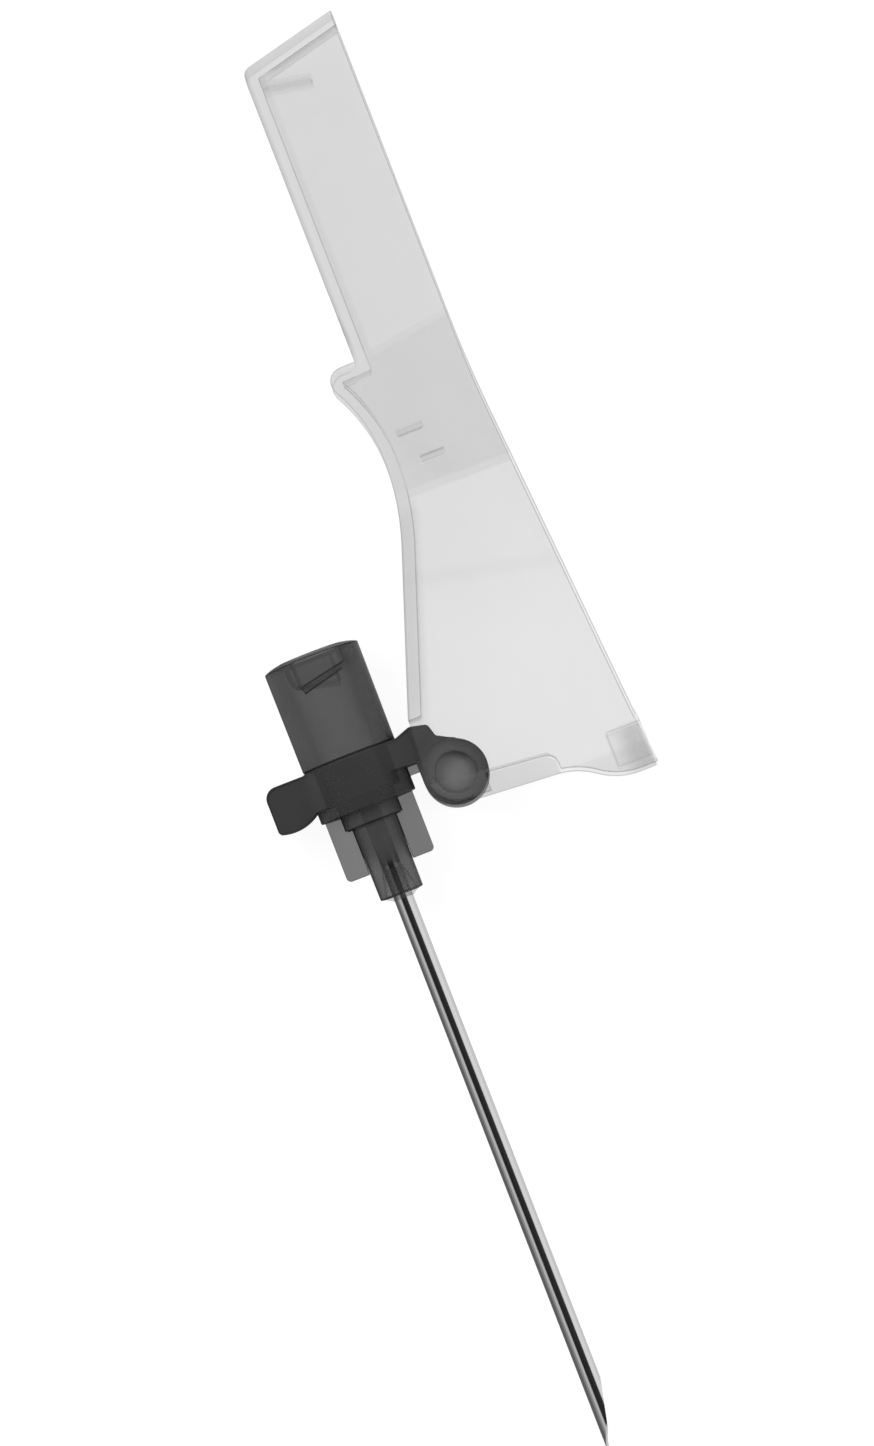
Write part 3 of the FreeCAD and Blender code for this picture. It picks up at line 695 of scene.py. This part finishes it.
@dataclass
class Moulding:
    """A CAD node taken over as a piece with softened edges.

    Attributes:
        node: The CAD node's name.
        body: The body that it rides.
        slot: The record's finish slot; not used.
        edge: How much its edges are softened.
        smooth_deg: Faces that meet at less than this look smooth.
        join_mm: Points closer than this are merged first.
        flat_deg: Faces that meet at less than this become one.
        shortest_mm: Edges shorter than this are collapsed.
    """

    node: str
    body: str
    slot: str
    edge: Edge = Edge.FINE
    smooth_deg: float = 32.0
    join_mm: float = 0.0005
    flat_deg: float = 0.4
    shortest_mm: float = 0.02

    def build(
        self, material: bpy.types.Material, edge_shade: Optional[bpy.types.Material] = None
    ) -> bpy.types.Object:
        """Copy the node, merge its loose triangles, soften its edges and dress it.

        Args:
            material: The finish.
            edge_shade: The softened edges' own finish, painted darker as shade, if they have one.

        Returns:
            The new piece.
        """
        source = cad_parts[self.node]
        make_active(source)
        bpy.ops.object.duplicate()
        piece = bpy.context.object
        piece.parent = None
        piece.name = piece.data.name = f"{self.node}_piece"
        for key in [k for k in piece.keys() if k.startswith("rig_")]:
            del piece[key]
        bpy.ops.object.mode_set(mode="EDIT")
        bpy.ops.mesh.select_all(action="SELECT")
        bpy.ops.mesh.remove_doubles(threshold=self.join_mm * MM)
        bpy.ops.mesh.dissolve_limited(angle_limit=math.radians(self.flat_deg))
        bpy.ops.mesh.dissolve_degenerate(threshold=self.shortest_mm * MM)
        bpy.ops.object.mode_set(mode="OBJECT")
        if piece.data.has_custom_normals:
            bpy.ops.mesh.customdata_custom_splitnormals_clear()
        piece.data.materials.clear()
        piece.data.materials.append(material)
        if edge_shade:
            piece.data.materials.append(edge_shade)
        bevel = piece.modifiers.new("Softened", "BEVEL")
        bevel.width = self.edge.value * MM
        bevel.segments = 2
        bevel.limit_method = "ANGLE"
        bevel.angle_limit = math.radians(self.smooth_deg)
        bevel.use_clamp_overlap = False
        bevel.material = 1 if edge_shade else -1
        bpy.ops.object.modifier_apply(modifier=bevel.name)
        bpy.ops.object.shade_smooth_by_angle(angle=math.radians(self.smooth_deg))
        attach(piece, self.body)
        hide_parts(self.node)
        log.info("%s: %d faces", piece.name, len(piece.data.polygons))
        return piece


@dataclass(frozen=True)
class Lamp:
    """A soft square lamp that metal doesn't mirror."""

    name: str
    place_mm: tuple[float, float, float]
    size_mm: float
    power: float

    def build(self, aim_mm: Vector) -> None:
        """Add the lamp and turn it to a point.

        Args:
            aim_mm: The point, in millimetres.
        """
        place = Vector(self.place_mm)
        bpy.ops.object.light_add(type="AREA", location=place * MM)
        lamp = bpy.context.object
        lamp.name = self.name
        lamp.data.size = self.size_mm * MM
        lamp.data.energy = self.power
        lamp.visible_glossy = False
        lamp.rotation_euler = (aim_mm - place).to_track_quat("-Z", "Y").to_euler()


@dataclass
class Studio:
    """Floor, lamps and camera.

    Attributes:
        tilt_deg: How far the camera is turned, so that the needle leans.
        target_mm: The point that the camera aims at.
        toward: The way from there to the camera.
        distance_mm: How far off the camera stands.
        frame_height_mm: What the picture's height covers at that distance.
        sensor_mm: The camera's sensor.
        floor_drop_mm: How far the floor lies below the needle's axis.
        floor_size_mm: The floor's size.
        floor_tone: The floor's own grey, which takes the shadow.
        floor_white: How much of the white glow the camera sees over it.
        mirrored_floor: How bright the floor is in mirrors, at its left and at its right.
        mirrored_mm: Where it goes from one to the other, along X.
        sky: The world's strength as plain light.
        mirrored_room: The room's brightness in mirrors.
        room_right: How much brighter it is on the right.
        room_right_at: Where it turns brighter, as a direction's X.
        room_left: How much darker it is on the far left.
        room_left_at: Where it turns darker, as a direction's X.
        flag_left: The left edge of the dark flag overhead, as a direction's X.
        flag_right: Its right edge.
        flag_soft: How soft both edges are.
        flag_height: Where the flag starts, as a direction's Z.
        flag_dark: How much of the room the flag hides.
        lamps: The lamps.
        aim_mm: The point that they are turned to.
    """

    tilt_deg: float = 21.2
    target_mm: tuple[float, float, float] = (6.07, -6.84, 0.0)
    toward: tuple[float, float, float] = (0.0, -0.04, 1.0)
    distance_mm: float = 600.0
    frame_height_mm: float = 93.29
    sensor_mm: float = 36.0
    floor_drop_mm: float = 4.3
    floor_size_mm: float = 900.0
    floor_tone: float = 0.85
    floor_white: float = 0.93
    mirrored_floor: Span = (0.04, 0.7)
    mirrored_mm: Span = (-4.0, 6.0)
    sky: float = 0.55
    mirrored_room: float = 0.6
    room_right: float = 0.3
    room_right_at: Span = (-0.2, 0.2)
    room_left: float = 0.3
    room_left_at: Span = (-0.86, -0.96)
    flag_left: float = -0.57
    flag_right: float = 0.6
    flag_soft: float = 0.08
    flag_height: Span = (0.1, 0.3)
    flag_dark: float = 0.97
    lamps: tuple[Lamp, ...] = (
        Lamp("Key", (-180.0, 160.0, 420.0), 260.0, 2.6),
        Lamp("Fill", (260.0, -120.0, 360.0), 240.0, 1.3),
    )
    aim_mm: tuple[float, float, float] = (6.0, -5.0, 0.0)

    def build(self) -> None:
        """Make the whole studio."""
        self.make_floor()
        self.make_lamps()
        self.make_camera()

    def make_floor(self) -> None:
        """A white floor that keeps the object's soft shadow."""
        clear_selection()
        bpy.ops.mesh.primitive_plane_add(
            size=self.floor_size_mm * MM, location=(0, 0, -self.floor_drop_mm * MM)
        )
        floor = bpy.context.object
        floor.name = "floor"
        material, maker = new_material("white_floor")
        camera, glossy, through = maker.rays()
        seen = camera.at_least(glossy).at_least(through)
        lit = maker.node("ShaderNodeBsdfDiffuse", None, {"Color": grey(self.floor_tone)})
        across, _, _ = maker.place()
        left, right = self.mirrored_floor
        side = across.step(*self.mirrored_mm) * (right - left) + left
        strength = 1.0 - glossy * (1.0 - side)
        glow = maker.node("ShaderNodeEmission", None, {"Color": grey(1.0), "Strength": strength})
        share = seen * self.floor_white
        mixed = maker.node("ShaderNodeMixShader", None, {0: share, 1: lit, 2: glow})
        maker.node("ShaderNodeOutputMaterial", None, {"Surface": mixed})
        floor.data.materials.append(material)

    def make_lamps(self) -> None:
        """A plain grey surround and two soft lamps."""
        world = bpy.data.worlds.new("Studio")
        bpy.context.scene.world = world
        world.use_nodes = True
        maker = NodeMaker(world.node_tree)
        way = maker.node("ShaderNodeTexCoord", output="Generated")
        across, _, height = [
            maker.node("ShaderNodeSeparateXYZ", None, {0: way}, output=k) for k in range(3)
        ]
        dark = across.band(self.flag_left, self.flag_right, self.flag_soft)
        dark = dark * height.step(*self.flag_height)
        room = across.step(*self.room_right_at) * self.room_right + self.mirrored_room
        room = room - across.step(*self.room_left_at) * self.room_left
        camera, glossy, through = maker.rays()
        mirrored = glossy * (1.0 - dark * self.flag_dark) * room
        seen = camera.at_least(through)
        plain = (1.0 - glossy.at_least(seen)) * self.sky
        glow = maker.node(
            "ShaderNodeBackground", None, {"Color": grey(1.0), "Strength": mirrored + seen + plain}
        )
        maker.node("ShaderNodeOutputWorld", None, {"Surface": glow})
        for lamp in self.lamps:
            lamp.build(Vector(self.aim_mm))

    def make_camera(self) -> None:
        """The camera looks down on the part, turned so that the needle leans in the frame."""
        turn = math.radians(self.tilt_deg)
        back = Vector(self.toward).normalized()
        up = Vector((math.sin(turn), math.cos(turn), 0.0))
        up = (up - back * up.dot(back)).normalized()
        right = up.cross(back)
        camera = bpy.data.cameras.new("Camera")
        holder = bpy.data.objects.new("Camera", camera)
        bpy.context.scene.collection.objects.link(holder)
        place = (Vector(self.target_mm) + back * self.distance_mm) * MM
        turned = Matrix((right, up, back)).transposed().to_4x4()
        holder.matrix_world = Matrix.Translation(place) @ turned
        camera.sensor_fit = "VERTICAL"
        camera.sensor_height = self.sensor_mm
        camera.lens = self.sensor_mm * self.distance_mm / self.frame_height_mm
        camera.clip_start = 0.01
        camera.clip_end = 10.0
        bpy.context.scene.camera = holder


def main() -> None:
    """Build every sub-assembly and the studio."""
    logging.basicConfig(level=logging.INFO)
    bpy.context.scene.view_settings.view_transform = "Standard"
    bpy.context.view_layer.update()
    charcoal = CollarPlastic(
        "charcoal_plastic", tone=0.036, skin=0.5, rim=1.0, absorb=0.6, gloss=0.3, roughness=0.4
    ).make()
    hub_grey = HubPlastic(
        "hub_plastic", tone=0.06, skin=0.58, rim=1.6, absorb=0.5, gloss=0.12, roughness=0.4
    ).make()
    clear = ShieldPlastic("clear_plastic", tone=0.12, skin=0.066, rim=0.35, absorb=0.03).make()
    # Painted shade: the hub's softened edges get a darker skin, for the dark outline along its
    # translucent sides.
    hub_edge_shade = MouldedPlastic(
        "hub_plastic_edge_shade", tone=0.02, skin=0.7, rim=0.5, absorb=0.5, gloss=0.12, roughness=0.4
    ).make()
    glue = MouldedPlastic("cured_glue", tone=0.1, skin=0.15, rim=0.2, absorb=0.05).make()
    # Painted shade: the shield's softened edges get a darker skin, for the dark lines at clear
    # plastic's edges.
    clear_edge_shade = ShieldEdgeShade("clear_plastic_edge_shade", tone=0.1, skin=0.22, rim=0.2, absorb=0.03).make()
    steel = PolishedSteel("polished_steel").make()
    Moulding("hub", "needle", "tinted_plastic").build(hub_grey, hub_edge_shade)
    Moulding("collar", "needle", "tinted_plastic").build(charcoal)
    Moulding("shield", "shield", "clear_plastic", Edge.MOULDED).build(clear, clear_edge_shade)
    for name, material in (("cannula", steel), ("adhesive", glue)):
        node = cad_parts[name]
        node.data.materials.clear()
        node.data.materials.append(material)
    Studio().build()


if __name__ == "__main__":
    main()
